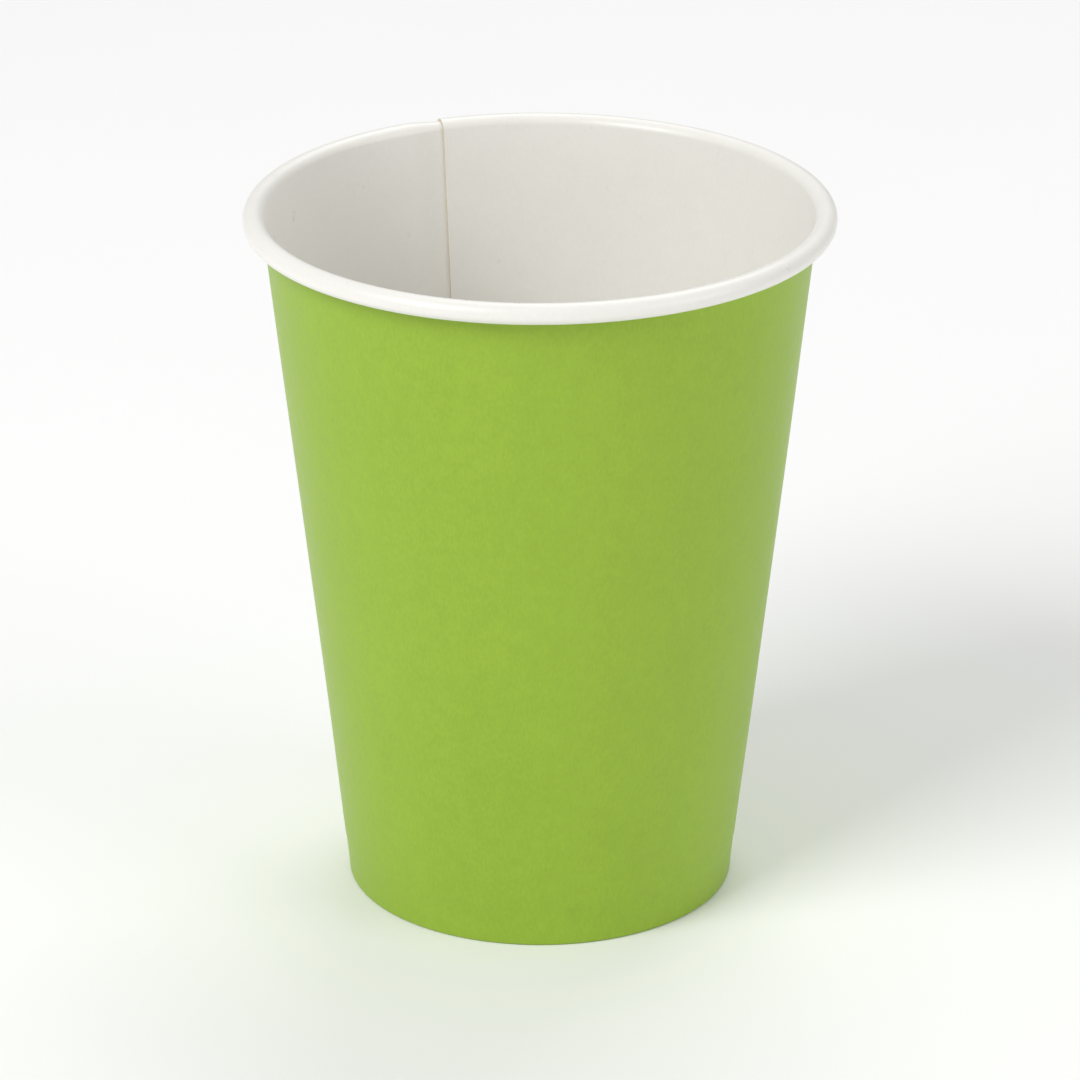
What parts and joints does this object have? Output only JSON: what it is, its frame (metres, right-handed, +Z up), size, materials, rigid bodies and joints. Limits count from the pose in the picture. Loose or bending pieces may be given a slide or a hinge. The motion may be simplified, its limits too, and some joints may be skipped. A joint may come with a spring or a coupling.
{
  "type": "paper cup",
  "caption": "Single-wall board cup: green outside and white inside, with a rolled rim, a lapped side seam and a base disc held in a folded hem.",
  "frame": {"origin": "centre of the folded base ring, on the surface that the cup stands on", "axes": "+Z up the cup's axis through the mouth; the middle of the side seam lies 105 degrees round from +X towards +Y, and -Y is the seamless front"},
  "size_m": [0.09, 0.09, 0.11],
  "materials": {
    "side_wall": "satin",
    "base_disc": "satin"
  },
  "bodies": {
    "root": {"side_wall": "side_wall", "base_disc": "base_disc"}
  },
  "joints": []
}
